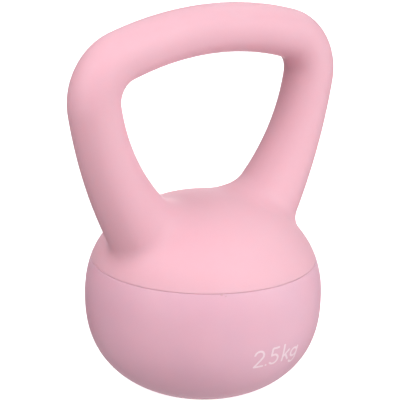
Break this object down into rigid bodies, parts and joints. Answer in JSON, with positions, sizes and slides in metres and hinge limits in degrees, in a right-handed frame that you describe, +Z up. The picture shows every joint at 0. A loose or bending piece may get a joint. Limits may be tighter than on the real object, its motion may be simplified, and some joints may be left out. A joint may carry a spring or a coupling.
{
  "type": "kettlebell",
  "caption": "Soft kettlebell: hollow loop handle moulded in one with its shoulder, glued into a round soft cup filled with iron sand, with a flat foot.",
  "frame": {"origin": "middle of the flat foot, on the floor", "axes": "+Z up; the handle's loop lies in the XZ plane; -Y is the face with the weight mark"},
  "size_m": [0.1772, 0.134, 0.2188],
  "materials": {
    "handle_plastic": "blow-moulded polyethylene, fine matt skin",
    "cup_vinyl": "soft moulded vinyl, satin",
    "plug_vinyl": "soft moulded vinyl, satin",
    "adhesive": "cured adhesive, slightly glossy",
    "bulkhead_plastic": "moulded polyethylene, natural",
    "iron_sand": "loose dark iron sand",
    "mark_ink": "thin pad-printed ink, satin"
  },
  "bodies": {
    "root": {"handle_shell": "handle_plastic", "base_cup": "cup_vinyl", "seam_adhesive": "adhesive", "bulkhead": "bulkhead_plastic", "bulkhead_adhesive": "adhesive", "iron_sand": "iron_sand", "fill_plug": "plug_vinyl"}
  },
  "joints": []
}
